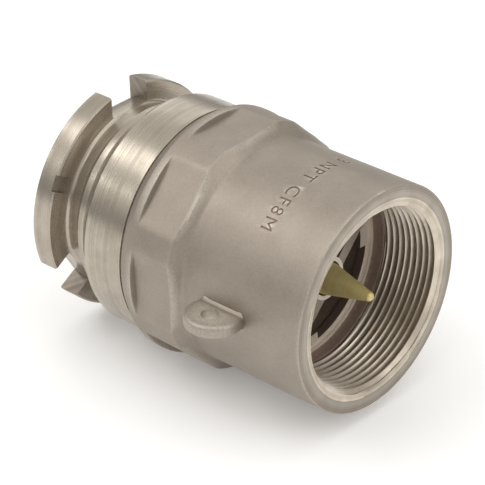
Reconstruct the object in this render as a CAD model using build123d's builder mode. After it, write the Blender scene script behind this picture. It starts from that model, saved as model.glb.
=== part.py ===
"""Dry-disconnect cam adapter, 3 inch, female pipe thread.

The coupling axis is X. The thread mouth is at X = 0 and opens towards +X; the lobed flange that the
hose coupler locks on to is at the other end. Stations along the axis are negative X, in millimetres.
Angles round the axis are counted from +Z towards -Y, so 90 degrees is the -Y side.
"""
import math
import os

from build123d import *

os.makedirs("parts", exist_ok=True)

# ---- driving sizes -------------------------------------------------------------------------------
# thread hub
thread_r = 41.3
thread_length = 30.0
mouth_land = 5.93
mouth_opening = 4.77
mouth_chamfer = 2.2
mouth_round = 2.2
relief_step = 0.3
relief_length = 11.5
hub_length = 64.8

# wrench octagon and collar
hub_flare = 4.7
barrel_rise = 6.0
flat_depth = 2.4
flat_count = 8
flat_turn = 3.0
barrel_length = 20.5
collar_width = 4.0
collar_chamfer_length = 4.8

# machined nose, stepping down to the lobed flange
land_drop = 3.2
land_length = 21.5
land_groove_depth = 0.9
land_groove_width = 0.9
nose_chamfer_drop = 2.1
nose_chamfer_length = 2.8
step_rise = 1.0
step_length = 5.0
band_rise = 3.8
band_length = 6.0
band_chamfer = 1.8
neck_wall = 4.4
neck_length = 9.1
neck_taper = 2.5
neck_fillet = 2.4
lobe_height = 10.95
flange_thickness = 10.65
flange_edge = 0.7

# bayonet notches and roller seats
lobe_count = 3
notch_turn = 2.0
notch_width = 22.0
notch_nose = 1.8
detent_turn = 64.0
detent_width = 7.5
detent_depth = 1.5
detent_length = 7.35

# cable eye
eye_x = -42.0
eye_turn = 90.0
eye_reach = 18.0
eye_radius = 13.0
eye_thickness = 6.5
eye_hole_r = 4.0
eye_hole_offset = 2.4
eye_edge_round = 2.0
eye_end_margin = 3.0

# flow path
neck_bore_r = 39.0
seat_width = 5.5
throat_length = 3.05
land_wall = 6.8
chamber_wall = 6.5
shoulder_step = 2.0
shoulder_bore_length = 9.0

# valve head and stem
seat_gap = 0.5
face_recess = 0.5
head_land = 2.75
head_side_clearance = 2.0
head_rim_width = 3.0
head_web = 7.2
head_boss_r = 12.0
head_boss_length = 7.0
seal_wire_r = 1.75
seal_sink = 1.4
seal_set_in = 1.6
travel = 24.0
stop_clearance = 0.5
stem_r = 7.0
stem_collar_height = 3.0
stem_spigot_step = 1.0
stem_spigot_engagement = 9.0
jam_nut_flats = 21.0
jam_nut_thickness = 6.0

# brass nose cone
cone_base_x = -31.0
cone_tip_x = -2.8
cone_overhang = 0.3
cone_base_land = 3.5
cone_tip_r = 2.3
cone_spigot_step = 3.0
cone_spigot_length = 11.0

# guide spider
spider_thickness = 4.0
spider_rim_width = 3.0
spider_fit = 0.25
arm_count = 3
arm_turn = 47.0
arm_width = 6.5
pad_half_angle = 22.0
pad_depth = 3.75
boss_front_x = -27.5
boss_length = 18.5
boss_wall = 2.0
boss_draft = 1.5
boss_clearance = 0.7
bush_wall = 1.6
bush_length = 12.0
bush_flange_width = 2.5
bush_flange_thickness = 2.0
running_clearance = 0.06

# retaining ring
ring_thickness = 1.6
ring_bite = 1.4
ring_width = 3.1
ring_gap_turn = 78.0
ring_gap_angle = 24.0
ring_ear_turn = 4.0
ring_ear_r = 3.4
ring_ear_hole_r = 1.2
ring_side_clearance = 0.1

# valve spring
spring_wire_r = 1.75
spring_coils = 8.5
spring_core_gap = 2.1
seat_washer_thickness = 1.5
seat_washer_margin = 1.85
seat_washer_clearance = 0.8
cup_lip_height = 2.5
cup_lip_width = 1.2

# ---- radii worked out from the sizes above --------------------------------------------------------
mouth_r = thread_r + mouth_opening
hub_r = mouth_r + mouth_land
relief_r = thread_r - relief_step
shoulder_bore_r = relief_r - shoulder_step
barrel_r = hub_r + barrel_rise
flat_apothem = barrel_r - flat_depth
land_r = barrel_r - land_drop
nose_chamfer_r = land_r - nose_chamfer_drop
neck_r = neck_bore_r + neck_wall
band_r = neck_r + band_rise
step_r = band_r + step_rise
flange_r = neck_r + lobe_height
chamber_r = land_r - land_wall
throat_r = neck_bore_r - seat_width
head_r = neck_bore_r - head_side_clearance
head_land_r = throat_r - seat_gap
stem_collar_r = stem_r + stem_collar_height
stem_spigot_r = stem_r - stem_spigot_step
cone_base_r = stem_r + cone_overhang
cone_spigot_r = stem_r - cone_spigot_step
boss_bore_r = cone_base_r + boss_clearance
boss_r = boss_bore_r + boss_wall
bush_r = stem_r + running_clearance + bush_wall
bush_flange_r = boss_r + bush_flange_width
rim_r = relief_r - spider_fit
rim_inner_r = rim_r - spider_rim_width
pad_inner_r = rim_inner_r - pad_depth
jam_nut_corner_r = jam_nut_flats / 2 / math.cos(math.pi / 6)
spring_mean_r = jam_nut_corner_r + spring_core_gap + spring_wire_r
seat_washer_r = spring_mean_r + spring_wire_r + seat_washer_margin

# ---- stations along X worked out from the sizes above ----------------------------------------------
flare_x = -hub_length
barrel_front_x = flare_x - hub_flare
barrel_back_x = barrel_front_x - barrel_length
collar_x = barrel_back_x - collar_width
land_start_x = collar_x - collar_chamfer_length
land_end_x = land_start_x - land_groove_width - land_length
nose_chamfer_x = land_end_x - nose_chamfer_length
step_x = nose_chamfer_x - step_length
band_x = step_x - band_length
flange_back_x = band_x - neck_length
face_x = flange_back_x - flange_thickness

shoulder_x = -thread_length - relief_length
spider_front_x = shoulder_x + spider_thickness
ring_front_x = spider_front_x + ring_thickness
boss_back_x = boss_front_x - boss_length
bush_back_x = boss_back_x - bush_flange_thickness
washer_back_x = bush_back_x - seat_washer_thickness

throat_x = face_x + throat_length
seat_end_x = throat_x + neck_bore_r - throat_r
head_front_x = face_x + face_recess
head_cone_x = head_front_x + head_land
head_rim_x = head_cone_x + head_r - head_land_r
head_back_x = head_rim_x + head_rim_width
head_web_x = head_front_x + head_web
head_boss_x = head_web_x + head_boss_length
cup_x = head_web_x + seat_washer_thickness
collar_start_x = head_boss_x + jam_nut_thickness
stem_stop_x = bush_back_x - travel - stop_clearance


def turned_plane(turn):
    """Plane through the axis whose local x is X and whose local y points outwards at the given turn."""
    angle = math.radians(turn)
    return Plane(origin=(0, 0, 0), x_dir=(1, 0, 0), z_dir=(0, -math.cos(angle), -math.sin(angle)))


# ---- body: one stainless casting -------------------------------------------------------------------
with BuildPart() as adapter_body:
    with BuildSketch(Plane.XZ) as outside:
        with BuildLine():
            Polyline(
                (0, 0),
                (0, hub_r),
                (flare_x, hub_r),
                (barrel_front_x, barrel_r),
                (collar_x, barrel_r),
                (land_start_x, land_r),
                (land_start_x, land_r - land_groove_depth),
                (land_start_x - land_groove_width, land_r - land_groove_depth),
                (land_start_x - land_groove_width, land_r),
                (land_end_x, land_r),
                (nose_chamfer_x, nose_chamfer_r),
                (step_x, step_r),
                (step_x, band_r),
                (band_x + band_chamfer, band_r),
                (band_x, band_r - band_chamfer),
                (band_x - neck_taper, neck_r),
                (flange_back_x, neck_r),
                (flange_back_x, flange_r - flange_edge),
                (flange_back_x - flange_edge, flange_r),
                (face_x + flange_edge, flange_r),
                (face_x, flange_r - flange_edge),
                (face_x, 0),
                close=True,
            )
        make_face()
        mouth_corner = outside.vertices().sort_by_distance((0, 0, hub_r))[0]
        fillet(mouth_corner, mouth_round)
        neck_corner = outside.vertices().sort_by_distance((flange_back_x, 0, neck_r))[0]
        fillet(neck_corner, neck_fillet)
        flare_corner = outside.vertices().sort_by_distance((flare_x, 0, hub_r))[0]
        fillet(flare_corner, hub_flare)
    revolve(axis=Axis.X)

    # cable eye: a flat tab that stands out from the hub, rounded on its free edge
    eye_centre = hub_r + eye_reach - eye_radius
    eye_plane = turned_plane(eye_turn)
    with BuildSketch(eye_plane) as eye:
        with Locations((eye_x, eye_centre)):
            Circle(eye_radius)
        with Locations((eye_x, eye_centre - eye_radius)):
            Rectangle(2 * eye_radius, 2 * eye_radius)
    extrude(amount=eye_thickness / 2, both=True)
    rim_arcs = edges().filter_by(GeomType.CIRCLE).filter_by(
        lambda edge: abs(edge.radius - eye_radius) < 0.01
    )
    fillet(rim_arcs, eye_edge_round)
    with BuildSketch(eye_plane) as eye_hole:
        with Locations((eye_x, eye_centre + eye_hole_offset)):
            Circle(eye_hole_r)
    extrude(amount=eye_thickness, both=True, mode=Mode.SUBTRACT)

    # wrench flats: everything outside an octagon, between the shoulder and the hub
    with BuildSketch(Plane.YZ.offset(barrel_back_x)) as flats:
        Circle(barrel_r + 5)
        RegularPolygon(
            flat_apothem,
            flat_count,
            major_radius=False,
            rotation=flat_turn + 180 / flat_count,
            mode=Mode.SUBTRACT,
        )
    extrude(amount=flare_x - barrel_back_x, mode=Mode.SUBTRACT)

    # bayonet notches through the flange, each with a sloped nose
    for index in range(lobe_count):
        with BuildSketch(turned_plane(notch_turn + index * 360 / lobe_count)) as notch:
            with BuildLine():
                Polyline(
                    (face_x, neck_r - notch_nose),
                    (face_x + 2 * notch_nose, neck_r),
                    (flange_back_x + neck_fillet, neck_r),
                    (flange_back_x + neck_fillet, flange_r + 2),
                    (face_x, flange_r + 2),
                    close=True,
                )
            make_face()
        extrude(amount=notch_width / 2, both=True, mode=Mode.SUBTRACT)

    # roller seats in the back of each lobe
    for index in range(lobe_count):
        with BuildSketch(turned_plane(detent_turn + index * 360 / lobe_count)) as detent:
            with BuildLine():
                Polyline(
                    (flange_back_x - detent_depth, flange_r - detent_length),
                    (flange_back_x + 1, flange_r - detent_length),
                    (flange_back_x + 1, flange_r + 2),
                    (flange_back_x - detent_depth, flange_r + 2),
                    close=True,
                )
            make_face()
        extrude(amount=detent_width / 2, both=True, mode=Mode.SUBTRACT)

    # flow path from the mouth to the valve seat
    with BuildSketch(Plane.XZ) as flow:
        with BuildLine():
            Polyline(
                (0, 0),
                (0, mouth_r),
                (-mouth_chamfer, mouth_r - mouth_chamfer),
                (-mouth_chamfer, thread_r),
                (-thread_length, thread_r),
                (-thread_length, relief_r),
                (ring_front_x + ring_side_clearance, relief_r),
                (ring_front_x + ring_side_clearance, relief_r + ring_bite),
                (spider_front_x, relief_r + ring_bite),
                (spider_front_x, relief_r),
                (shoulder_x, relief_r),
                (shoulder_x, shoulder_bore_r),
                (shoulder_x - shoulder_bore_length, shoulder_bore_r),
                (barrel_front_x - chamber_wall, chamber_r),
                (land_end_x, chamber_r),
                (step_x, neck_bore_r),
                (seat_end_x, neck_bore_r),
                (throat_x, throat_r),
                (face_x, throat_r),
                (face_x, 0),
                close=True,
            )
        make_face()
    revolve(axis=Axis.X, mode=Mode.SUBTRACT)

# the casting in four lengths, so that each one is a plain ring
def body_length(front_x, back_x):
    """Part of the casting between two stations."""
    with BuildPart() as length:
        add(adapter_body.part)
        split(bisect_by=Plane.YZ.offset(front_x), keep=Keep.BOTTOM)
        split(bisect_by=Plane.YZ.offset(back_x), keep=Keep.TOP)
    return length.part


hub_end_x = eye_x - eye_radius - eye_end_margin
thread_hub = body_length(1, hub_end_x)
thread_hub.label = "thread_hub"
wrench_barrel = body_length(hub_end_x, land_start_x)
wrench_barrel.label = "wrench_barrel"
turned_nose = body_length(land_start_x, flange_back_x)
turned_nose.label = "turned_nose"
cam_flange = body_length(flange_back_x, face_x - 1)
cam_flange.label = "cam_flange"

# ---- valve head ------------------------------------------------------------------------------------
seal_x = head_cone_x + seal_set_in + seal_sink * math.sqrt(0.5)
seal_r = head_land_r + seal_set_in - seal_sink * math.sqrt(0.5)

with BuildPart() as poppet_head:
    with BuildSketch(Plane.XZ) as head_profile:
        with BuildLine():
            Polyline(
                (head_front_x, 0),
                (head_front_x, head_land_r),
                (head_cone_x, head_land_r),
                (head_rim_x, head_r),
                (head_back_x, head_r),
                (head_back_x, head_r - head_rim_width),
                (head_web_x, head_r - head_rim_width - (head_back_x - head_web_x)),
                (head_web_x, head_boss_r),
                (head_boss_x, head_boss_r),
                (head_boss_x, 0),
                close=True,
            )
        make_face()
    revolve(axis=Axis.X)
    with BuildSketch(Plane.XZ) as seal_groove:
        with Locations((seal_x, seal_r)):
            Circle(seal_wire_r)
    revolve(axis=Axis.X, mode=Mode.SUBTRACT)
    with BuildSketch(Plane.YZ.offset(head_boss_x)) as socket:
        Circle(stem_spigot_r)
    extrude(amount=-stem_spigot_engagement, mode=Mode.SUBTRACT)
poppet_head.part.label = "poppet_head"

with BuildPart() as poppet_seal:
    with BuildSketch(Plane.XZ) as seal_section:
        with Locations((seal_x, seal_r)):
            Circle(seal_wire_r)
    revolve(axis=Axis.X)
poppet_seal.part.label = "poppet_seal"

# ---- stem, jam nut and nose cone -------------------------------------------------------------------
with BuildPart() as poppet_stem:
    with BuildSketch(Plane.XZ) as stem_profile:
        with BuildLine():
            Polyline(
                (head_boss_x - stem_spigot_engagement, 0),
                (head_boss_x - stem_spigot_engagement, stem_spigot_r),
                (collar_start_x, stem_spigot_r),
                (collar_start_x, stem_collar_r),
                (stem_stop_x, stem_collar_r),
                (stem_stop_x, stem_r),
                (cone_base_x, stem_r),
                (cone_base_x, cone_spigot_r),
                (cone_base_x + cone_spigot_length, cone_spigot_r),
                (cone_base_x + cone_spigot_length, 0),
                close=True,
            )
        make_face()
    revolve(axis=Axis.X)
poppet_stem.part.label = "poppet_stem"

with BuildPart() as jam_nut:
    with BuildSketch(Plane.YZ.offset(head_boss_x)) as nut_section:
        RegularPolygon(jam_nut_flats / 2, 6, major_radius=False)
        Circle(stem_spigot_r, mode=Mode.SUBTRACT)
    extrude(amount=jam_nut_thickness)
jam_nut.part.label = "jam_nut"

with BuildPart() as nose_cone:
    with BuildSketch(Plane.XZ) as cone_profile:
        with BuildLine():
            flank = Polyline(
                (cone_base_x, 0),
                (cone_base_x, cone_base_r),
                (cone_base_x + cone_base_land, cone_base_r),
                (cone_tip_x - cone_tip_r, cone_tip_r),
            )
            tip = RadiusArc(flank @ 1, (cone_tip_x, 0), cone_tip_r)
            Line(tip @ 1, (cone_base_x, 0))
        make_face()
    revolve(axis=Axis.X)
    with BuildSketch(Plane.YZ.offset(cone_base_x)) as cone_socket:
        Circle(cone_spigot_r)
    extrude(amount=cone_spigot_length, mode=Mode.SUBTRACT)
nose_cone.part.label = "nose_cone"

# ---- guide spider ----------------------------------------------------------------------------------
with BuildPart() as guide_spider:
    with BuildSketch(Plane.YZ.offset(shoulder_x)) as rim:
        Circle(rim_r)
        Circle(rim_inner_r, mode=Mode.SUBTRACT)
    extrude(amount=spider_thickness)
    for index in range(arm_count):
        pad_turn = arm_turn + index * 360 / arm_count
        with BuildSketch(Plane.YZ.offset(shoulder_x)) as pad:
            with BuildLine():
                start = 90 + pad_turn - pad_half_angle
                outer = CenterArc((0, 0), rim_inner_r + 1, start, 2 * pad_half_angle)
                inner = CenterArc((0, 0), pad_inner_r, start, 2 * pad_half_angle)
                Line(outer @ 0, inner @ 0)
                Line(outer @ 1, inner @ 1)
            make_face()
        extrude(amount=spider_thickness)
        with BuildSketch(turned_plane(pad_turn)) as arm:
            with BuildLine():
                Polyline(
                    (boss_front_x - 1, boss_r - 2),
                    (spider_front_x, pad_inner_r + 1),
                    (shoulder_x, pad_inner_r + 1),
                    (boss_back_x + 2, boss_r - 2),
                    close=True,
                )
            make_face()
        extrude(amount=arm_width / 2, both=True)
    with BuildSketch(Plane.XZ) as boss:
        with BuildLine():
            Polyline(
                (boss_front_x, 0),
                (boss_front_x, boss_r),
                (boss_back_x, boss_r + boss_draft),
                (boss_back_x, 0),
                close=True,
            )
        make_face()
    revolve(axis=Axis.X)
    with BuildSketch(Plane.YZ.offset(boss_back_x)) as boss_bore:
        Circle(boss_bore_r)
    extrude(amount=boss_length, mode=Mode.SUBTRACT)
    with BuildSketch(Plane.YZ.offset(boss_back_x)) as bush_bore:
        Circle(bush_r)
    extrude(amount=bush_length, mode=Mode.SUBTRACT)
guide_spider.part.label = "guide_spider"

with BuildPart() as guide_bush:
    with BuildSketch(Plane.YZ.offset(boss_back_x)) as bush_section:
        Circle(bush_r)
    extrude(amount=bush_length)
    with BuildSketch(Plane.YZ.offset(bush_back_x)) as bush_flange:
        Circle(bush_flange_r)
    extrude(amount=bush_flange_thickness)
    with BuildSketch(Plane.YZ.offset(bush_back_x)) as bush_hole:
        Circle(stem_r + running_clearance)
    extrude(amount=bush_length + bush_flange_thickness, mode=Mode.SUBTRACT)
guide_bush.part.label = "guide_bush"

# ---- retaining ring --------------------------------------------------------------------------------
ring_outer_r = relief_r + ring_bite
ring_inner_r = ring_outer_r - ring_width
ear_r = ring_inner_r - ring_ear_r / 3

with BuildPart() as retaining_ring:
    with BuildSketch(Plane.YZ.offset(spider_front_x)) as ring_section:
        Circle(ring_outer_r)
        Circle(ring_inner_r, mode=Mode.SUBTRACT)
        with BuildLine():
            half_gap = ring_gap_angle / 2
            gap_start = CenterArc((0, 0), ring_outer_r + 1, 90 + ring_gap_turn - half_gap, ring_gap_angle)
            Line(gap_start @ 0, (0, 0))
            Line(gap_start @ 1, (0, 0))
        make_face(mode=Mode.SUBTRACT)
        for side in (-1, 1):
            ear_angle = math.radians(90 + ring_gap_turn + side * (half_gap + ring_ear_turn))
            with Locations((ear_r * math.cos(ear_angle), ear_r * math.sin(ear_angle))):
                Circle(ring_ear_r)
                Circle(ring_ear_hole_r, mode=Mode.SUBTRACT)
    extrude(amount=ring_thickness)
retaining_ring.part.label = "retaining_ring"

# ---- valve spring and its seats --------------------------------------------------------------------
with BuildPart() as rear_spring_seat:
    with BuildSketch(Plane.YZ.offset(washer_back_x)) as washer_section:
        Circle(seat_washer_r)
        Circle(stem_collar_r + seat_washer_clearance, mode=Mode.SUBTRACT)
    extrude(amount=seat_washer_thickness)
rear_spring_seat.part.label = "rear_spring_seat"

with BuildPart() as front_spring_seat:
    with BuildSketch(Plane.XZ) as cup_profile:
        with BuildLine():
            Polyline(
                (head_web_x, head_boss_r),
                (head_web_x, seat_washer_r),
                (cup_x + cup_lip_height, seat_washer_r),
                (cup_x + cup_lip_height, seat_washer_r - cup_lip_width),
                (cup_x, seat_washer_r - cup_lip_width),
                (cup_x, head_boss_r),
                close=True,
            )
        make_face()
    revolve(axis=Axis.X)
front_spring_seat.part.label = "front_spring_seat"

spring_length = washer_back_x - cup_x
spring_pitch = spring_length / spring_coils

with BuildPart() as valve_spring:
    with BuildLine() as coil:
        Helix(spring_pitch, spring_length, spring_mean_r, center=(cup_x, 0, 0), direction=(1, 0, 0))
    with BuildSketch(Plane(origin=coil.line @ 0, z_dir=coil.line % 0)) as wire:
        Circle(spring_wire_r)
    sweep(path=coil.line, is_frenet=True)
    # ground ends, flush with both seats
    with BuildSketch(Plane.YZ.offset(cup_x)) as front_grind:
        Circle(seat_washer_r)
    extrude(amount=-2 * spring_wire_r, mode=Mode.SUBTRACT)
    with BuildSketch(Plane.YZ.offset(washer_back_x)) as rear_grind:
        Circle(seat_washer_r)
    extrude(amount=2 * spring_wire_r, mode=Mode.SUBTRACT)
valve_spring.part.label = "valve_spring"

# ---- files -----------------------------------------------------------------------------------------
export_step(thread_hub, "parts/thread_hub.step")
export_step(wrench_barrel, "parts/wrench_barrel.step")
export_step(turned_nose, "parts/turned_nose.step")
export_step(cam_flange, "parts/cam_flange.step")
export_step(poppet_head.part, "parts/poppet_head.step")
export_step(poppet_seal.part, "parts/poppet_seal.step")
export_step(poppet_stem.part, "parts/poppet_stem.step")
export_step(jam_nut.part, "parts/jam_nut.step")
export_step(nose_cone.part, "parts/nose_cone.step")
export_step(guide_spider.part, "parts/guide_spider.step")
export_step(guide_bush.part, "parts/guide_bush.step")
export_step(retaining_ring.part, "parts/retaining_ring.step")
export_step(rear_spring_seat.part, "parts/rear_spring_seat.step")
export_step(front_spring_seat.part, "parts/front_spring_seat.step")
export_step(valve_spring.part, "parts/valve_spring.step")
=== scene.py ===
"""Three inch cam adapter with a sprung valve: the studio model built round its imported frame.

The coupling axis is X, the thread mouth is at X = 0 and opens towards +X, and +Z is up. Sizes in the
classes are millimetres. Turns round the axis are degrees from +Z towards -Y.
"""

import logging
import math
from dataclasses import dataclass, field
from enum import Enum

import bmesh
import bpy
from mathutils import Matrix, Vector


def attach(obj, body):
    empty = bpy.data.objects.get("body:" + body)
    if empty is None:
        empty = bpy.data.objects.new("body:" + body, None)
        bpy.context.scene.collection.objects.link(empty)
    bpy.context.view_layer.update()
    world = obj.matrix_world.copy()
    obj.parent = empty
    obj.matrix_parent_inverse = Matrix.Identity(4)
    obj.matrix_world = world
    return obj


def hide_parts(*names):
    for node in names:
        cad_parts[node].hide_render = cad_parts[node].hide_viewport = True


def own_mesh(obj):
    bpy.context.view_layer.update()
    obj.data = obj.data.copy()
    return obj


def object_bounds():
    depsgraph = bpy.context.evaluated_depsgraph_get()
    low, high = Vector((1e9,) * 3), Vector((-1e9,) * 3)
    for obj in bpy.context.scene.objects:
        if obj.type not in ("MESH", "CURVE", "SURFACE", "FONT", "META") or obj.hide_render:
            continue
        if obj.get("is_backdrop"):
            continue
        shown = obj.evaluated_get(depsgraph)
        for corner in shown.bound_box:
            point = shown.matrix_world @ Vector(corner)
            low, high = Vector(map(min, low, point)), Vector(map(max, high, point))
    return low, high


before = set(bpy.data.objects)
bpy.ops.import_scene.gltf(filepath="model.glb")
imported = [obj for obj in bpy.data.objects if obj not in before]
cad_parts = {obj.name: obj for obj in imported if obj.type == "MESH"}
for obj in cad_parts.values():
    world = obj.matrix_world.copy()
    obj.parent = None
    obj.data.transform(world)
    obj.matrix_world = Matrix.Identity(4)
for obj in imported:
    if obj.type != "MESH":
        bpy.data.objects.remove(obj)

log = logging.getLogger("adapter")
MM = 0.001
MERGE_M = 1e-6  # points nearer than this are one
CUT_MERGE_M = 2e-6  # the same after a cut or a helix, whose points meet less exactly
ON_PLANE_M = 1e-7
ADAPTER = "adapter"  # every new piece rides on this body
Corner = tuple[float, float, float]


class Zone(Enum):
    """Material slots of the turned casting, in slot order."""

    CAST = 0
    TURNED = 1
    INSIDE = 2
    MILLED = 3
    FACED = 4


# ---- colour and node helpers -----------------------------------------------------------------------
def linear(code: str) -> tuple[float, float, float, float]:
    """Turn an sRGB hex colour into linear RGBA.

    Args:
        code: Colour such as "#a1b2c3".

    Returns:
        Linear red, green, blue and an alpha of 1.
    """
    parts = [int(code[i:i + 2], 16) / 255 for i in (1, 3, 5)]
    values = [c / 12.92 if c <= 0.04045 else ((c + 0.055) / 1.055) ** 2.4 for c in parts]
    return (values[0], values[1], values[2], 1.0)


def add_node(tree: bpy.types.NodeTree, kind: str, inputs: dict | None = None,
             stops: tuple[tuple[float, str], ...] = (), **settings) -> bpy.types.Node:
    """Add one node to a tree with its settings, values and links.

    Args:
        tree: Node tree that takes the node.
        kind: Node type, such as "ShaderNodeTexNoise".
        inputs: Value or source socket for each input, by name or number.
        stops: Position and hex colour of each of a colour ramp's two stops.
        **settings: Properties of the node itself.

    Returns:
        The new node.
    """
    node = tree.nodes.new(kind)
    for name, value in settings.items():
        setattr(node, name, value)
    for name, value in (inputs or {}).items():
        if isinstance(value, bpy.types.NodeSocket):
            tree.links.new(value, node.inputs[name])
        else:
            node.inputs[name].default_value = value
    for index, (position, code) in enumerate(stops):
        element = node.color_ramp.elements[index]
        element.position, element.color = position, linear(code)
    return node


def begun(name: str) -> tuple[bpy.types.Material, bpy.types.Node, bpy.types.Node]:
    """Start a node material.

    Args:
        name: Name of the material.

    Returns:
        The material, its shader and a texture coordinate node.
    """
    mat = bpy.data.materials.new(name)
    mat.use_nodes = True
    tree = mat.node_tree
    return mat, tree.nodes["Principled BSDF"], add_node(tree, "ShaderNodeTexCoord")


# ---- finishes ----------------------------------------------------------------------------------------
@dataclass(frozen=True)
class CastStainless:
    """CF8M investment casting, glass-bead blasted.

    Beads of about 0.4 mm leave a satin, slightly warm grey skin: soft, broad highlights, faint blotches
    from the shell mould and a few small pits. Convex corners carry a painted highlight in the edge
    colour.
    """

    name: str = "cast_stainless_bead_blasted"
    dark: str = "#958b80"
    light: str = "#a79e92"
    # edge is the colour of the painted highlight on convex corners
    edge: str = "#e0d9cd"
    wall: str = ""  # painted shade colour for the faces not turned to +X; the faces turned to +X keep the main tone
    roughness: float = 0.5
    metallic: float = 0.85
    grain_mm: float = 0.9  # coarser than the 0.4 mm beads, so that it still shows
    blotch_mm: float = 14.0
    pit_mm: float = 4.5
    grain_height_mm: float = 0.035
    grain_share: float = 0.58  # of the colour; the blotches have the rest

    def material(self) -> bpy.types.Material:
        """Build the material from the finish's own sizes.

        Returns:
            The material.
        """
        mat, shader, coordinates = begun(self.name)
        tree = mat.node_tree
        spot = coordinates.outputs["Object"]
        grain = add_node(tree, "ShaderNodeTexNoise", {
            "Vector": spot, "Scale": 1 / (self.grain_mm * MM), "Detail": 3.0, "Roughness": 0.6})
        blotch = add_node(tree, "ShaderNodeTexNoise", {
            "Vector": spot, "Scale": 1 / (self.blotch_mm * MM), "Detail": 4.0, "Roughness": 0.55})
        pits = add_node(tree, "ShaderNodeTexVoronoi", {
            "Vector": spot, "Scale": 1 / (self.pit_mm * MM)}, feature="F1")
        broad = add_node(tree, "ShaderNodeMath", {
            0: blotch.outputs[0], 1: 1 - self.grain_share}, operation="MULTIPLY")
        mixed = add_node(tree, "ShaderNodeMath", {
            0: grain.outputs[0], 1: self.grain_share, 2: broad.outputs[0]}, operation="MULTIPLY_ADD")
        tone = add_node(tree, "ShaderNodeValToRGB", {0: mixed.outputs[0]},
                        stops=((0.32, self.dark), (0.68, self.light))).outputs[0]
        # painted highlight: pointed corners, broken up by the grain, turn towards the edge colour
        corner = add_node(tree, "ShaderNodeNewGeometry").outputs["Pointiness"]
        edge_highlight_mask = add_node(tree, "ShaderNodeMapRange", {
            "Value": corner, "From Min": 0.508, "From Max": 0.56, "To Max": 0.9})
        edge_highlight_speckle = add_node(tree, "ShaderNodeMath", {
            0: edge_highlight_mask.outputs[0], 1: grain.outputs[0]}, operation="MULTIPLY")
        tone = add_node(tree, "ShaderNodeMix", {
            0: edge_highlight_speckle.outputs[0], 6: tone, 7: linear(self.edge)}, data_type="RGBA").outputs[2]
        # painted shade: every face not turned to +X takes the wall colour
        if self.wall:
            across = add_node(tree, "ShaderNodeSeparateXYZ", {0: coordinates.outputs["Normal"]})
            shaded_sides_mask = add_node(tree, "ShaderNodeMapRange", {
                "Value": across.outputs[0], "From Min": 0.97, "From Max": 0.92})
            tone = add_node(tree, "ShaderNodeMix", {
                0: shaded_sides_mask.outputs[0], 6: tone, 7: linear(self.wall)}, data_type="RGBA").outputs[2]
        tree.links.new(tone, shader.inputs["Base Color"])
        rough = add_node(tree, "ShaderNodeMapRange", {
            "Value": grain.outputs[0], "To Min": self.roughness - 0.06, "To Max": self.roughness + 0.08})
        tree.links.new(rough.outputs[0], shader.inputs["Roughness"])
        shader.inputs["Metallic"].default_value = self.metallic
        pit = add_node(tree, "ShaderNodeMapRange", {
            "Value": pits.outputs["Distance"], "From Min": 0.0, "From Max": 0.16})
        height = add_node(tree, "ShaderNodeMath", {
            0: grain.outputs[0], 1: 0.8, 2: pit.outputs[0]}, operation="MULTIPLY_ADD")
        bump = add_node(tree, "ShaderNodeBump", {
            "Strength": 0.5, "Distance": self.grain_height_mm * MM, "Height": height.outputs[0]})
        tree.links.new(bump.outputs[0], shader.inputs["Normal"])
        return mat


@dataclass(frozen=True)
class TurnedMetal:
    """Bar or casting cut on a lathe.

    The tool leaves rings round the axis a fraction of a millimetre apart. They stretch a highlight along
    the axis on a cylinder and into a bow tie on a face. The cut skin is brighter than a blasted one.
    """

    name: str
    dark: str
    light: str
    roughness: float = 0.24
    feed_mm: float = 0.55  # coarser than the 0.2 mm feed, so that the rings still show
    band_mm: float = 3.5
    stain_mm: float = 9.0
    ring_height_mm: float = 0.0008
    metallic: float = 1.0

    def material(self) -> bpy.types.Material:
        """Build the material from the finish's own sizes.

        Returns:
            The material.
        """
        mat, shader, coordinates = begun(self.name)
        tree = mat.node_tree
        spot = coordinates.outputs["Object"]
        parts = add_node(tree, "ShaderNodeSeparateXYZ", {0: spot})
        across = add_node(tree, "ShaderNodeCombineXYZ", {1: parts.outputs[1], 2: parts.outputs[2]})
        radius = add_node(tree, "ShaderNodeVectorMath", {0: across.outputs[0]}, operation="LENGTH")
        along = add_node(tree, "ShaderNodeMath", {
            0: parts.outputs[0], 1: radius.outputs["Value"]}, operation="ADD")
        rings = add_node(tree, "ShaderNodeTexNoise", {
            "W": along.outputs[0], "Scale": 1 / (self.feed_mm * MM), "Detail": 2.0},
            noise_dimensions="1D")
        bands = add_node(tree, "ShaderNodeTexNoise", {
            "W": along.outputs[0], "Scale": 1 / (self.band_mm * MM), "Detail": 2.0},
            noise_dimensions="1D")
        stain = add_node(tree, "ShaderNodeTexNoise", {
            "Vector": spot, "Scale": 1 / (self.stain_mm * MM), "Detail": 4.0})
        faint = add_node(tree, "ShaderNodeMath", {0: bands.outputs[0], 1: 0.5}, operation="MULTIPLY")
        marks = add_node(tree, "ShaderNodeMath", {
            0: rings.outputs[0], 1: 0.4, 2: faint.outputs[0]}, operation="MULTIPLY_ADD")
        mixed = add_node(tree, "ShaderNodeMath", {
            0: stain.outputs[0], 1: 0.5, 2: marks.outputs[0]}, operation="MULTIPLY_ADD")
        colour = add_node(tree, "ShaderNodeValToRGB", {0: mixed.outputs[0]},
                          stops=((0.56, self.dark), (0.84, self.light)))
        tree.links.new(colour.outputs[0], shader.inputs["Base Color"])
        rough = add_node(tree, "ShaderNodeMapRange", {
            "Value": mixed.outputs[0], "From Min": 0.45, "From Max": 0.95,
            "To Min": self.roughness + 0.08, "To Max": self.roughness - 0.05})
        tree.links.new(rough.outputs[0], shader.inputs["Roughness"])
        shader.inputs["Metallic"].default_value = self.metallic
        bump = add_node(tree, "ShaderNodeBump", {
            "Strength": 0.6, "Distance": self.ring_height_mm * MM, "Height": rings.outputs[0]})
        tree.links.new(bump.outputs[0], shader.inputs["Normal"])
        return mat


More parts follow.
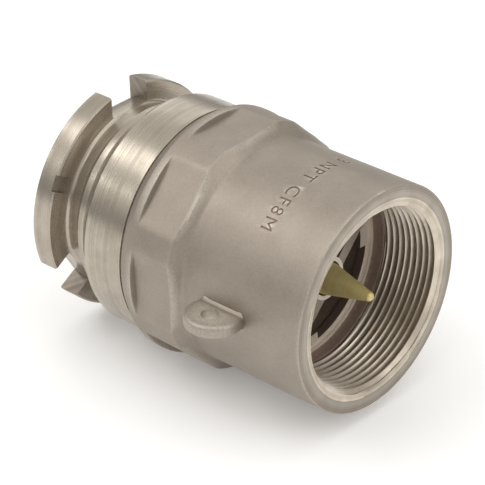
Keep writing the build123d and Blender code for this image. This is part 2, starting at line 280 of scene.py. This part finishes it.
@dataclass(frozen=True)
class Moulded:
    """Plastic or rubber: an even colour with a faint, soft skin texture."""

    name: str
    dark: str
    light: str
    roughness: float
    grain_mm: float = 1.2
    grain_height_mm: float = 0.01

    def material(self) -> bpy.types.Material:
        """Build the material from the finish's own sizes.

        Returns:
            The material.
        """
        mat, shader, coordinates = begun(self.name)
        tree = mat.node_tree
        grain = add_node(tree, "ShaderNodeTexNoise", {
            "Vector": coordinates.outputs["Object"], "Scale": 1 / (self.grain_mm * MM), "Detail": 3.0})
        colour = add_node(tree, "ShaderNodeValToRGB", {0: grain.outputs[0]},
                          stops=((0.35, self.dark), (0.65, self.light)))
        tree.links.new(colour.outputs[0], shader.inputs["Base Color"])
        shader.inputs["Roughness"].default_value = self.roughness
        bump = add_node(tree, "ShaderNodeBump", {
            "Strength": 0.4, "Distance": self.grain_height_mm * MM, "Height": grain.outputs[0]})
        tree.links.new(bump.outputs[0], shader.inputs["Normal"])
        return mat


@dataclass
class Finishes:
    """Every finish of the adapter, made once and shared."""

    cast: bpy.types.Material = field(default_factory=lambda: CastStainless().material())
    # spider: its light tone is painted light for the dimly lit bore, and its wall colour is painted
    # shade
    spider: bpy.types.Material = field(default_factory=lambda: CastStainless(
        name="cast_stainless_spider_painted_light_and_shade", dark="#bfb2a4", light="#d2c6b8", wall="#6d5c50",
        metallic=0.3).material())
    # the bore's edge colour below is its painted highlight on corners
    inside: bpy.types.Material = field(default_factory=lambda: CastStainless(
        name="cast_stainless_as_cast_bore", dark="#8a766b", light="#a08c7f", edge="#b5a596",
        metallic=0.5, roughness=0.62, grain_mm=1.4, grain_height_mm=0.08).material())
    turned: bpy.types.Material = field(default_factory=lambda: TurnedMetal(
        "turned_stainless_316", "#a0978a", "#b4ab9d", roughness=0.25,
        ring_height_mm=0.0002, metallic=0.78).material())
    # notch and seat walls: milled finish, with its darker tone as painted shade
    milled: bpy.types.Material = field(default_factory=lambda: TurnedMetal(
        "milled_stainless_316_painted_shade", "#7d7469", "#92897e", roughness=0.42, metallic=0.9).material())
    faced: bpy.types.Material = field(default_factory=lambda: TurnedMetal(
        "faced_stainless_316", "#91887d", "#a79e93", roughness=0.38, metallic=0.85).material())
    thread: bpy.types.Material = field(default_factory=lambda: TurnedMetal(
        "threaded_stainless_316", "#b6aa9a", "#ddd3c4", roughness=0.3,
        ring_height_mm=0.0003, metallic=0.9).material())
    spring: bpy.types.Material = field(default_factory=lambda: TurnedMetal(
        "drawn_spring_steel_302", "#989084", "#bdb4a6", roughness=0.36, metallic=0.8).material())
    ring: bpy.types.Material = field(default_factory=lambda: TurnedMetal(
        "stamped_stainless_301", "#dccfc0", "#f0e7da", roughness=0.35, metallic=0.35).material())
    brass: bpy.types.Material = field(default_factory=lambda: TurnedMetal(
        "turned_brass_cz121", "#c9ba7c", "#d6ca90", roughness=0.42,
        ring_height_mm=0.0004, metallic=0.6).material())
    ptfe: bpy.types.Material = field(default_factory=lambda: Moulded(
        "moulded_ptfe", "#dedad0", "#efece4", 0.5).material())
    rubber: bpy.types.Material = field(default_factory=lambda: Moulded(
        "moulded_fkm_rubber", "#1d1b1a", "#2b2826", 0.55).material())


# ---- mesh helpers ------------------------------------------------------------------------------------
def softened(corners: list[Corner], arc_steps: int = 4) -> list[tuple[float, float]]:
    """Round the corners of a profile.

    Args:
        corners: Station, radius and rounding of each corner, in millimetres.
        arc_steps: Number of edges in each rounding.

    Returns:
        Station and radius of every point of the rounded profile.
    """
    points: list[tuple[float, float]] = []
    for index, (x, r, soft) in enumerate(corners):
        here = Vector((x, r))
        if soft == 0 or index in (0, len(corners) - 1):
            points.append((x, r))
            continue
        before = Vector(corners[index - 1][:2]) - here
        after = Vector(corners[index + 1][:2]) - here
        half = before.angle(after) / 2
        reach = min(soft / math.tan(half), 0.49 * before.length, 0.49 * after.length)
        start, end = here + before.normalized() * reach, here + after.normalized() * reach
        for step in range(arc_steps + 1):
            t = step / arc_steps
            spot = start * (1 - t) ** 2 + here * 2 * t * (1 - t) + end * t ** 2
            points.append((spot.x, spot.y))
    return points


def divided(points: list[tuple[float, float]], longest: float) -> list[tuple[float, float]]:
    """Add points so that no edge of a profile is longer than a given length.

    Args:
        points: Station and radius of each point.
        longest: Longest edge left, in millimetres.

    Returns:
        The profile with the extra points.
    """
    out = [points[0]]
    for (x0, r0), (x1, r1) in zip(points, points[1:]):
        count = max(1, math.ceil(math.hypot(x1 - x0, r1 - r0) / longest))
        out += [(x0 + (x1 - x0) * k / count, r0 + (r1 - r0) * k / count) for k in range(1, count + 1)]
    return out


def spun(points: list[tuple[float, float]], steps: int) -> bmesh.types.BMesh:
    """Spin a closed profile once round X.

    Args:
        points: Station and radius of each point, in millimetres.
        steps: Number of steps in the turn.

    Returns:
        A closed bmesh in metres, with its normals outwards.
    """
    bm = bmesh.new()
    verts = [bm.verts.new((x * MM, 0, r * MM)) for x, r in points]
    edges = [bm.edges.new((a, b)) for a, b in zip(verts, verts[1:] + verts[:1])]
    bmesh.ops.spin(bm, geom=verts + edges, cent=(0, 0, 0), axis=(1, 0, 0), angle=math.tau,
                   steps=steps, use_merge=True)
    bmesh.ops.remove_doubles(bm, verts=bm.verts, dist=MERGE_M)
    bmesh.ops.recalc_face_normals(bm, faces=bm.faces)
    return bm


def prism(outline: list[tuple[float, float]], width: float, turn: float) -> bmesh.types.BMesh:
    """Extrude an outline drawn along the axis and outwards, and turn it round the axis.

    Args:
        outline: Station and radial height of each corner, in millimetres.
        width: Width across the outline, in millimetres.
        turn: Turn round the axis in degrees.

    Returns:
        A closed bmesh in metres.
    """
    bm = bmesh.new()
    face = bm.faces.new([bm.verts.new((x * MM, width / 2 * MM, r * MM)) for x, r in outline])
    made = bmesh.ops.extrude_face_region(bm, geom=[face])
    moved = [v for v in made["geom"] if isinstance(v, bmesh.types.BMVert)]
    bmesh.ops.translate(bm, verts=moved, vec=(0, -width * MM, 0))
    bmesh.ops.rotate(bm, verts=bm.verts, cent=(0, 0, 0),
                     matrix=Matrix.Rotation(math.radians(turn), 3, "X"))
    bmesh.ops.recalc_face_normals(bm, faces=bm.faces)
    return bm


def finished_object(name: str, bm: bmesh.types.BMesh, *materials: bpy.types.Material,
                    sharp: float = 32.0) -> bpy.types.Object:
    """Turn a bmesh into an object with smooth faces and sharp corners.

    Args:
        name: Name of the piece.
        bm: The shape, in metres; it is freed.
        *materials: Materials in slot order.
        sharp: Angle in degrees from which an edge stays sharp.

    Returns:
        The linked object.
    """
    limit = math.radians(sharp)
    for face in bm.faces:
        face.smooth = True
    for edge in bm.edges:
        edge.smooth = edge.calc_face_angle(0.0) < limit
    mesh = bpy.data.meshes.new(name)
    bm.to_mesh(mesh)
    bm.free()
    for material in materials:
        mesh.materials.append(material)
    piece = bpy.data.objects.new(name, mesh)
    bpy.context.scene.collection.objects.link(piece)
    return piece


def cut(shape: bmesh.types.BMesh, tools: list[bmesh.types.BMesh]) -> bmesh.types.BMesh:
    """Cut tools out of a shape.

    Args:
        shape: The shape to cut; it is freed.
        tools: Closed tools that don't touch each other; they are freed.

    Returns:
        The cut shape.
    """
    target = finished_object("cut_target", shape)
    joined = bmesh.new()
    for tool in tools:
        mesh = bpy.data.meshes.new("tool")
        tool.to_mesh(mesh)
        tool.free()
        joined.from_mesh(mesh)
        bpy.data.meshes.remove(mesh)
    cutter = finished_object("cut_tool", joined)
    boolean = target.modifiers.new("cut", "BOOLEAN")
    boolean.operation = "DIFFERENCE"
    boolean.solver = "MANIFOLD"
    boolean.object = cutter
    bpy.context.view_layer.update()
    result = bmesh.new()
    result.from_object(target, bpy.context.evaluated_depsgraph_get())
    for used in (target, cutter):
        mesh = used.data
        bpy.data.objects.remove(used)
        bpy.data.meshes.remove(mesh)
    bmesh.ops.remove_doubles(result, verts=result.verts, dist=CUT_MERGE_M)
    return result


def meshed(curve: bpy.types.Curve) -> bmesh.types.BMesh:
    """Turn text or a curve into a bmesh and remove it.

    Args:
        curve: The curve's data.

    Returns:
        Its surface, with coincident points merged.
    """
    holder = bpy.data.objects.new(curve.name, curve)
    bpy.context.scene.collection.objects.link(holder)
    mesh = bpy.data.meshes.new_from_object(holder.evaluated_get(bpy.context.evaluated_depsgraph_get()))
    bm = bmesh.new()
    bm.from_mesh(mesh)
    bpy.data.meshes.remove(mesh)
    bpy.data.objects.remove(holder)
    bpy.data.curves.remove(curve)
    bmesh.ops.remove_doubles(bm, verts=bm.verts, dist=MERGE_M)
    return bm


def trimmed(bm: bmesh.types.BMesh, *ends: tuple[float, int]) -> None:
    """Cut away what lies beyond planes across the axis.

    Args:
        bm: The shape, in metres.
        *ends: Station of each plane in millimetres, and 1 or -1 for the side that goes.
    """
    for station, side in ends:
        bmesh.ops.bisect_plane(bm, geom=bm.verts[:] + bm.edges[:] + bm.faces[:], dist=ON_PLANE_M,
                               plane_co=(station * MM, 0, 0), plane_no=(side, 0, 0), clear_outer=True)


def place(piece: bpy.types.Object) -> bpy.types.Object:
    """Put a piece on the adapter's body and log it.

    Args:
        piece: The new piece.

    Returns:
        The same piece.
    """
    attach(piece, ADAPTER)
    log.info("%s: %d faces on %s", piece.name, len(piece.data.polygons), ADAPTER)
    return piece


# ---- the casting -------------------------------------------------------------------------------------
@dataclass
class SizeMark:
    """Size and grade mark cut into the hub."""

    words: str = "3 NPT CF8M"
    height: float = 6.4
    sink: float = 0.4
    hub_r: float = 52.0
    middle_x: float = -32.2
    middle_turn: float = 13.5
    size_per_height: float = 1.35  # size of the lettering for each unit of a capital's height
    spacing: float = 1.25

    def tool(self) -> bmesh.types.BMesh:
        """Set the words flat, give them a depth and wrap them round the hub.

        Returns:
            The cutter.
        """
        curve = bpy.data.curves.new("size_mark", "FONT")
        curve.body = self.words
        curve.size = self.height * self.size_per_height * MM
        curve.extrude = self.sink * MM
        curve.align_x = "CENTER"
        curve.align_y = "CENTER"
        curve.space_character = self.spacing
        curve.resolution_u = 4
        bm = meshed(curve)
        bmesh.ops.triangulate(bm, faces=bm.faces)
        for vert in bm.verts:
            along, up, out = vert.co
            turn = math.radians(self.middle_turn) + along / (self.hub_r * MM)
            radius = self.hub_r * MM + out
            vert.co = (self.middle_x * MM + up, -radius * math.sin(turn), radius * math.cos(turn))
        bmesh.ops.recalc_face_normals(bm, faces=bm.faces)
        return bm


@dataclass
class AdapterCasting:
    """The one-piece body: threaded hub, wrench octagon, turned nose and lobed flange."""

    steps: int = 240
    hub_r: float = 52.0
    mouth_r: float = 46.07
    hidden_bore_r: float = 46.5  # behind the thread's own wall
    barrel_r: float = 58.0
    flat_apothem: float = 55.6
    flat_turn: float = 3.0
    flat_count: int = 8
    flare_x: float = -64.8
    barrel_front_x: float = -69.5
    barrel_back_x: float = -90.0
    collar_x: float = -94.0
    land_x: float = -98.8
    land_r: float = 54.8
    land_end_x: float = -121.2
    step_x: float = -129.0
    bead_r: float = 47.2
    neck_r: float = 43.4
    flange_back_x: float = -144.1
    face_x: float = -154.75
    flange_r: float = 54.35
    throat_r: float = 33.5
    neck_bore_r: float = 39.0
    chamber_r: float = 48.0
    seat_x: float = -41.5
    groove_back_x: float = -37.5
    groove_front_x: float = -35.8
    groove_depth: float = 1.4
    relief_r: float = 41.0
    thread_end_x: float = -30.0
    notch_turn: float = 2.0
    notch_width: float = 22.0
    notch_nose: float = 1.8
    neck_fillet: float = 2.4
    detent_turn: float = 64.0
    detent_width: float = 7.5
    detent_depth: float = 1.5
    detent_length: float = 7.35
    flat_blend: float = 0.12
    edge_break: float = 0.7

    def corners(self) -> list[Corner]:
        """List the corners of the outside and the bore, from the mouth round to the mouth.

        Returns:
            Station, radius and rounding of each corner.
        """
        collar_undercut = self.land_r - 0.9
        broken_r, groove_r = self.flange_r - self.edge_break, self.relief_r + self.groove_depth
        return [
            # hub, octagonal barrel and collar
            (0.0, self.mouth_r, 0.0),
            (0.0, self.hub_r, 1.0),
            (self.flare_x, self.hub_r, 3.0),
            (self.barrel_front_x, self.barrel_r, 1.0),
            (self.barrel_back_x + 0.2, self.barrel_r, 0.0),
            (self.barrel_back_x - 0.2, self.barrel_r, 0.0),
            (self.collar_x, self.barrel_r, 1.2),
            # turned land behind its undercut, the step down and the neck
            (self.land_x, self.land_r, 0.2),
            (self.land_x, collar_undercut, 0.0),
            (self.land_x - 0.9, collar_undercut, 0.0),
            (self.land_x - 0.9, self.land_r, 0.2),
            (self.land_end_x, self.land_r, 0.5),
            (-124.0, 52.7, 0.5),
            (self.step_x, self.bead_r + 1.0, 0.2),
            (self.step_x, self.bead_r, 0.0),
            (-133.2, self.bead_r, 0.4),
            (-135.0, 45.4, 0.4),
            (-137.5, self.neck_r, 1.0),
            # flange and its face
            (self.flange_back_x, self.neck_r, self.neck_fillet),
            (self.flange_back_x, broken_r, 0.25),
            (self.flange_back_x - self.edge_break, self.flange_r, 0.25),
            (self.face_x + self.edge_break, self.flange_r, 0.25),
            (self.face_x, broken_r, 0.25),
            # throat with the valve's cone seat, and the chamber behind it
            (self.face_x, self.throat_r, 0.3),
            (-151.7, self.throat_r, 0.2),
            (-146.2, self.neck_bore_r, 0.2),
            (self.step_x, self.neck_bore_r, 2.0),
            (self.land_end_x, self.chamber_r, 2.0),
            (-76.0, self.chamber_r, 3.0),
            (-50.5, self.neck_bore_r, 2.0),
            # the spider's seat, the ring's groove and the relief behind the thread
            (self.seat_x, self.neck_bore_r, 0.3),
            (self.seat_x, self.relief_r, 0.0),
            (self.groove_back_x, self.relief_r, 0.0),
            (self.groove_back_x, groove_r, 0.0),
            (self.groove_front_x, groove_r, 0.0),
            (self.groove_front_x, self.relief_r, 0.0),
            (self.thread_end_x, self.relief_r, 0.3),
            (self.thread_end_x, self.hidden_bore_r, 0.0),
            (-0.8, self.hidden_bore_r, 0.0),
        ]

    def press_flats(self, bm: bmesh.types.BMesh) -> None:
        """Bring the barrel in to its octagon, with soft cast corners.

        Args:
            bm: The turned body, in metres.
        """
        pitch = math.tau / self.flat_count
        turn = math.radians(self.flat_turn)
        for vert in bm.verts:
            x, radius = vert.co.x / MM, math.hypot(vert.co.y, vert.co.z) / MM
            if radius < self.hub_r - 1 or x < self.barrel_back_x or x > self.flare_x + 8:
                continue
            angle = math.atan2(-vert.co.y, vert.co.z) - turn
            off = (angle + pitch / 2) % pitch - pitch / 2
            flat = self.flat_apothem / math.cos(off)
            gap = (flat - radius) / self.flat_blend
            if gap > 8:
                continue
            scale = 1 - self.flat_blend * math.log1p(math.exp(-gap)) / radius
            vert.co.y *= scale
            vert.co.z *= scale

    def tools(self) -> list[bmesh.types.BMesh]:
        """Make the cutters for the three bayonet notches and the three roller seats.

        Returns:
            Six closed cutters that don't touch each other.
        """
        out = []
        top, front = self.flange_r + 3, self.face_x - 2
        floor_end = self.flange_back_x + self.neck_fillet
        seat_end, seat_back = self.flange_back_x + 1, self.flange_back_x - self.detent_depth
        seat_r = self.flange_r - self.detent_length
        notch = [
            (front, self.neck_r - 2 * self.notch_nose), (self.face_x, self.neck_r - self.notch_nose),
            (self.face_x + 2 * self.notch_nose, self.neck_r), (floor_end, self.neck_r),
            (floor_end, top), (front, top)]
        seat = [(seat_back, seat_r), (seat_end, seat_r), (seat_end, top), (seat_back, top)]
        for index in range(3):
            turn = index * 120.0
            out.append(prism(notch, self.notch_width, turn + self.notch_turn))
            out.append(prism(seat, self.detent_width, turn + self.detent_turn))
        return out

    def zone(self, face: bmesh.types.BMFace) -> Zone:
        """Find which finish a face takes, from where it is.

        Args:
            face: Face of the cut body.

        Returns:
            The face's zone.
        """
        spot = face.calc_center_median() / MM
        radius = math.hypot(spot.y, spot.z)
        outwards = face.normal.y * spot.y + face.normal.z * spot.z
        if spot.x > -0.05:
            return Zone.FACED
        on_lobe = spot.x < self.flange_back_x + 3 and radius > self.relief_r
        # the notch and seat walls take the milled finish, whose darker tone is painted shade
        if on_lobe and abs(face.normal.x) < 0.5 and outwards < 0.8 * radius:
            return Zone.MILLED
        outside = spot.x < self.land_x + 0.1 and radius > 43 and outwards > -0.5
        if outside or spot.x < self.step_x:
            return Zone.TURNED
        in_relief = spot.x > -43 and radius < self.relief_r + 2
        in_chamber = spot.x < -43 and radius < self.chamber_r + 1
        in_mark = -40 < spot.x < -20 and self.hub_r - 0.8 < radius < self.hub_r - 0.05
        return Zone.INSIDE if in_relief or in_chamber or in_mark else Zone.CAST

    def build(self, finishes: Finishes) -> bpy.types.Object:
        """Make the casting and stand it in for the four lengths of its CAD.

        Args:
            finishes: The adapter's finishes.

        Returns:
            The piece.
        """
        points = divided(softened(self.corners(), 5), 3.0)
        bm = spun(points, self.steps)
        self.press_flats(bm)
        bm = cut(bm, [*self.tools(), SizeMark().tool()])
        for face in bm.faces:
            face.material_index = self.zone(face).value
        piece = finished_object("body_casting", bm, finishes.cast, finishes.turned, finishes.inside,
                                finishes.milled, finishes.faced)
        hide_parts("thread_hub", "wrench_barrel", "turned_nose", "cam_flange")
        return place(piece)


@dataclass
class MouthThread:
    """Tapered 3 inch pipe thread in the mouth, eight threads per inch, right handed."""

    pitch: float = 3.175
    minor_r: float = 41.76
    depth: float = 2.3
    crest_flat: float = 0.14
    taper: float = 1 / 32
    end_x: float = -30.0
    mouth_r: float = 46.07
    steps: int = 160
    flank_cuts: int = 4
    wall: float = 0.3
    chamfer_slope: float = 3.2

    def build(self, finishes: Finishes) -> bpy.types.Object:
        """Sweep one turn along its helix, repeat it and trim it to the mouth.

        Args:
            finishes: The adapter's finishes.

        Returns:
            The piece.
        """
        flat = self.crest_flat
        flank = self.pitch / 2 - flat
        shares = [k / self.flank_cuts for k in range(1, self.flank_cuts + 1)]
        one = [(0.0, self.depth), (flat / 2, self.depth)]
        one += [(flat / 2 + flank * share, self.depth * (1 - share)) for share in shares]
        one += [(flat * 1.5 + flank, 0.0)]
        one += [(flat * 1.5 + flank + flank * share, self.depth * share) for share in shares]
        one += [(self.pitch, self.depth)]
        turns = math.ceil(-self.end_x / self.pitch) + 3
        bm = bmesh.new()
        start = self.end_x - 1.5 * self.pitch
        verts = [bm.verts.new(((start + x) * MM, 0, (self.minor_r + h) * MM)) for x, h in one]
        edges = [bm.edges.new(pair) for pair in zip(verts, verts[1:])]
        bmesh.ops.spin(bm, geom=verts + edges, cent=(0, 0, 0), axis=(1, 0, 0), angle=math.tau,
                       steps=self.steps, dvec=(self.pitch / self.steps * MM, 0, 0))
        first = bm.verts[:] + bm.edges[:] + bm.faces[:]
        for turn in range(1, turns):
            copy = bmesh.ops.duplicate(bm, geom=first)
            moved = [v for v in copy["geom"] if isinstance(v, bmesh.types.BMVert)]
            bmesh.ops.translate(bm, verts=moved, vec=(turn * self.pitch * MM, 0, 0))
        bmesh.ops.remove_doubles(bm, verts=bm.verts, dist=CUT_MERGE_M)
        for vert in bm.verts:
            x, radius = vert.co.x / MM, math.hypot(vert.co.y, vert.co.z) / MM
            scale = max(radius + x * self.taper, self.mouth_r + x * self.chamfer_slope) / radius
            vert.co.y *= scale
            vert.co.z *= scale
        trimmed(bm, (0.0, 1), (self.end_x, -1))
        bmesh.ops.recalc_face_normals(bm, faces=bm.faces)
        probe = max(bm.faces, key=lambda f: f.calc_center_median().z)
        if probe.normal.z > 0:
            bmesh.ops.reverse_faces(bm, faces=bm.faces)
        piece = finished_object("pipe_thread", bm, finishes.thread, sharp=25.0)
        skin = piece.modifiers.new("wall", "SOLIDIFY")
        skin.thickness = self.wall * MM
        skin.offset = -1.0
        return place(piece)


@dataclass
class CableEye:
    """Flat cast tab on the hub with a hole for the dust-cap cable."""

    x: float = -42.0
    centre_r: float = 57.0
    radius: float = 13.0
    root_r: float = 50.0
    hub_r: float = 52.0
    thickness: float = 6.0
    hole_r: float = 4.0
    hole_offset: float = 2.4
    edge_round: float = 1.9
    fillet: float = 1.4
    fillet_cuts: tuple[float, ...] = (0.1, 0.35, 0.7, 1.2, 2.0)
    segments: int = 48

    def outline(self) -> list[tuple[float, float]]:
        """Draw the rim, from one root corner over the top to the other.

        Returns:
            Station and height of each point.
        """
        low = math.asin((self.root_r - self.centre_r) / self.radius)
        sweep = math.pi - 2 * low
        return [(self.x - self.radius * math.cos(a), self.centre_r + self.radius * math.sin(a))
                for a in (low + sweep * k / self.segments for k in range(self.segments + 1))]

    def free_edge(self, edge: bmesh.types.BMEdge) -> bool:
        """Tell whether an edge runs round the tab's free rim.

        Args:
            edge: Edge of the thickened tab.

        Returns:
            True where the edge is to be rounded.
        """
        first, second = (vert.co / MM for vert in edge.verts)
        level = abs(first.z - second.z) < 0.001
        above_root = max(-first.y, -second.y) > self.root_r + 0.01
        on_rim = math.hypot(first.x - self.x, -first.y - self.centre_r) > self.radius - 0.1
        return edge.calc_face_angle(0.0) > 1 and level and above_root and on_rim

    def build(self, finishes: Finishes) -> bpy.types.Object:
        """Bridge the rim to the hole, thicken it, round its free edge and flare its root.

        Args:
            finishes: The adapter's finishes.

        Returns:
            The piece.
        """
        bm = bmesh.new()
        rim = [bm.verts.new((x * MM, -r * MM, self.thickness / 2 * MM)) for x, r in self.outline()]
        rim_edges = [bm.edges.new(p) for p in zip(rim, rim[1:] + rim[:1])]
        hole = bmesh.ops.create_circle(bm, cap_ends=False, radius=self.hole_r * MM,
                                       segments=len(rim))
        bmesh.ops.translate(bm, verts=hole["verts"], vec=(
            self.x * MM, -(self.centre_r + self.hole_offset) * MM, self.thickness / 2 * MM))
        hole_edges = list({e for v in hole["verts"] for e in v.link_edges})
        faces = bmesh.ops.bridge_loops(bm, edges=rim_edges + hole_edges)["faces"]
        out = bmesh.ops.extrude_face_region(bm, geom=faces)
        moved = [v for v in out["geom"] if isinstance(v, bmesh.types.BMVert)]
        bmesh.ops.translate(bm, verts=moved, vec=(0, 0, -self.thickness * MM))
        bmesh.ops.recalc_face_normals(bm, faces=bm.faces)
        bmesh.ops.bevel(bm, geom=[edge for edge in bm.edges if self.free_edge(edge)],
                        offset=self.edge_round * MM, offset_type="OFFSET", segments=5,
                        profile=0.5, affect="EDGES", material=-1, clamp_overlap=True)
        for height in self.fillet_cuts:
            bmesh.ops.bisect_plane(bm, geom=bm.verts[:] + bm.edges[:] + bm.faces[:], dist=ON_PLANE_M,
                                   plane_co=(0, -(self.hub_r + height) * MM, 0), plane_no=(0, 1, 0))
        for vert in bm.verts:
            gap = max(0.0, -vert.co.y / MM - self.hub_r)
            if gap < self.fillet:
                swell = self.fillet - math.sqrt(self.fillet ** 2 - (self.fillet - gap) ** 2)
                vert.co.z += math.copysign(swell * MM, vert.co.z)
        bmesh.ops.recalc_face_normals(bm, faces=bm.faces)
        piece = finished_object("cable_eye", bm, finishes.cast, sharp=50.0)
        return place(piece)


@dataclass
class ValveSpring:
    """Compression spring between the spider and the valve head, with closed and ground ends."""

    front_x: float = -145.5
    rear_x: float = -49.5
    mean_r: float = 15.97
    wire_r: float = 1.75
    coils: float = 8.5
    closed: float = 0.9  # turns at each end
    closed_gap: float = 0.15
    per_turn: int = 28
    travel: float = 24.0

    def station(self, turn: float) -> float:
        """Find how far along the axis the wire's middle is.

        Args:
            turn: Turns from the front end.

        Returns:
            The station.
        """
        free = self.coils - 2 * self.closed
        close_pitch = 2 * self.wire_r + self.closed_gap
        length = self.rear_x - self.front_x - self.wire_r
        open_pitch = (length - 2 * self.closed * close_pitch) / free
        open_turns = max(0.0, min(turn - self.closed, free))
        closed_turns = min(turn, self.closed) + max(0.0, turn - self.closed - free)
        return self.front_x + self.wire_r / 2 + closed_turns * close_pitch + open_turns * open_pitch

    def build(self, finishes: Finishes) -> bpy.types.Object:
        """Wind the wire, grind its ends flat and give it a mesh of its own.

        Args:
            finishes: The adapter's finishes.

        Returns:
            The piece.
        """
        curve = bpy.data.curves.new("spring_path", "CURVE")
        curve.dimensions = "3D"
        curve.bevel_depth = self.wire_r * MM
        curve.bevel_resolution = 5
        curve.use_fill_caps = True
        path = curve.splines.new("POLY")
        count = int(self.coils * self.per_turn) + 1
        path.points.add(count - 1)
        for index, point in enumerate(path.points):
            turn = index * self.coils / (count - 1)
            angle = math.tau * turn
            point.co = (self.station(turn) * MM, self.mean_r * math.cos(angle) * MM,
                        self.mean_r * math.sin(angle) * MM, 1)
        bm = meshed(curve)
        trimmed(bm, (self.front_x, -1), (self.rear_x, 1))
        bmesh.ops.holes_fill(bm, edges=[e for e in bm.edges if e.is_boundary])
        bmesh.ops.recalc_face_normals(bm, faces=bm.faces)
        piece = finished_object("valve_coil", bm, finishes.spring, sharp=40.0)
        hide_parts("valve_spring")
        place(piece)
        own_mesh(piece)
        return piece


class CarriedNodes:
    """CAD nodes whose shape is right, dressed in their finishes."""

    def dress(self, finishes: Finishes) -> None:
        """Give every carried node its material.

        Args:
            finishes: The adapter's finishes.
        """
        table = {
            "guide_spider": finishes.spider, "guide_bush": finishes.ptfe,
            "retaining_ring": finishes.ring, "rear_spring_seat": finishes.turned,
            "front_spring_seat": finishes.turned, "poppet_head": finishes.turned,
            "poppet_stem": finishes.turned, "jam_nut": finishes.turned,
            "nose_cone": finishes.brass, "poppet_seal": finishes.rubber,
        }
        for name, material in table.items():
            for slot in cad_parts[name].material_slots:
                slot.material = material
            log.info("%s: %s", name, material.name)


# ---- studio ------------------------------------------------------------------------------------------
@dataclass(frozen=True)
class Softbox:
    """One oblong studio light aimed at the adapter.

    Angles are degrees, the azimuth from -Y towards +X; lengths are metres.
    """

    name: str
    azimuth: float
    elevation: float
    distance: float
    width: float
    height: float
    watts: float

    def build(self, target: Vector) -> None:
        """Hang the light and point it at the target.

        Args:
            target: Point the light faces, in metres.
        """
        az, el = math.radians(self.azimuth), math.radians(self.elevation)
        way = Vector((math.sin(az) * math.cos(el), -math.cos(az) * math.cos(el), math.sin(el)))
        lamp = bpy.data.lights.new(self.name, "AREA")
        lamp.shape = "RECTANGLE"
        lamp.size, lamp.size_y = self.width, self.height
        lamp.energy = self.watts
        holder = bpy.data.objects.new(self.name, lamp)
        bpy.context.scene.collection.objects.link(holder)
        holder.location = target + way * self.distance
        holder.rotation_euler = way.to_track_quat("Z", "Y").to_euler()


LIGHTS = (
    Softbox("softbox_left", -42.0, 50.0, 1.6, 1.3, 0.4, 4.8),
    Softbox("strip_left", -42.0, 27.0, 1.8, 1.3, 0.07, 1.0),
    Softbox("softbox_top", 30.0, 80.0, 1.7, 1.8, 1.6, 6.2),
    Softbox("softbox_back", -138.0, 32.0, 1.8, 1.4, 0.7, 2.0),
    Softbox("softbox_right", 100.0, 30.0, 1.8, 1.2, 1.0, 6.0),
)


@dataclass
class Studio:
    """Pale floor, soft light and the camera."""

    azimuth: float = 41.99
    elevation: float = 29.45
    distance: float = 992.8
    aim: tuple[float, float, float] = (-80.0, 0.0, 0.0)
    slide_right: float = 2.09
    slide_up: float = -1.79
    lens: float = 165.9
    floor_half_m: float = 4.0
    floor_gap: float = 0.2
    floor_colour: str = "#f4f4f4"
    floor_glow: float = 0.16
    horizon: float = 0.16
    ceiling: float = 0.78
    sky: tuple[float, float, float, float] = (1.0, 0.98, 0.95, 1.0)

    def camera(self) -> None:
        """Place the camera."""
        az, el = math.radians(self.azimuth), math.radians(self.elevation)
        right = Vector((math.cos(az), math.sin(az), 0))
        back = Vector((math.sin(az) * math.cos(el), -math.cos(az) * math.cos(el), math.sin(el)))
        up = back.cross(right)
        lens = bpy.data.cameras.new("studio_camera")
        lens.lens = self.lens
        lens.sensor_width = 36.0
        lens.clip_end = 20.0
        holder = bpy.data.objects.new("studio_camera", lens)
        bpy.context.scene.collection.objects.link(holder)
        spot = Vector(self.aim) + right * self.slide_right + up * self.slide_up + back * self.distance
        turn = Matrix((right, up, back)).transposed()
        holder.matrix_world = Matrix.Translation(spot * MM) @ turn.to_4x4()
        bpy.context.scene.camera = holder

    def floor(self) -> None:
        """Lay the floor under the lowest point."""
        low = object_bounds()[0].z
        bm = bmesh.new()
        bmesh.ops.create_grid(bm, x_segments=1, y_segments=1, size=self.floor_half_m)
        bmesh.ops.translate(bm, verts=bm.verts, vec=(0, 0, low - self.floor_gap * MM))
        mat = bpy.data.materials.new("studio_floor_matt_white")
        mat.use_nodes = True
        shader = mat.node_tree.nodes["Principled BSDF"]
        shader.inputs["Base Color"].default_value = linear(self.floor_colour)
        shader.inputs["Roughness"].default_value = 0.9
        shader.inputs["Emission Color"].default_value = (1.0, 1.0, 1.0, 1.0)
        shader.inputs["Emission Strength"].default_value = self.floor_glow
        finished_object("studio_floor", bm, mat)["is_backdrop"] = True

    def build(self) -> None:
        """Set the camera, floor, lights and world."""
        self.camera()
        self.floor()
        for light in LIGHTS:
            light.build(Vector(self.aim) * MM)
        world = bpy.data.worlds.new("studio_world")
        world.use_nodes = True
        tree = world.node_tree
        backdrop = tree.nodes["Background"]
        height = add_node(tree, "ShaderNodeSeparateXYZ", {
            0: add_node(tree, "ShaderNodeTexCoord").outputs["Generated"]})
        rise = add_node(tree, "ShaderNodeMapRange", {
            "Value": height.outputs[2], "From Min": 0.06, "From Max": 0.34,
            "To Min": self.horizon, "To Max": self.ceiling}, interpolation_type="SMOOTHSTEP")
        backdrop.inputs["Color"].default_value = self.sky
        tree.links.new(rise.outputs[0], backdrop.inputs["Strength"])
        bpy.context.scene.world = world
        bpy.context.scene.view_settings.view_transform = "Standard"


def main() -> None:
    logging.basicConfig(level=logging.INFO, format="%(name)s %(message)s")
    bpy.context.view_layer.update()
    finishes = Finishes()
    AdapterCasting().build(finishes)
    MouthThread().build(finishes)
    CableEye().build(finishes)
    ValveSpring().build(finishes)
    CarriedNodes().dress(finishes)
    Studio().build()


if __name__ == "__main__":
    main()
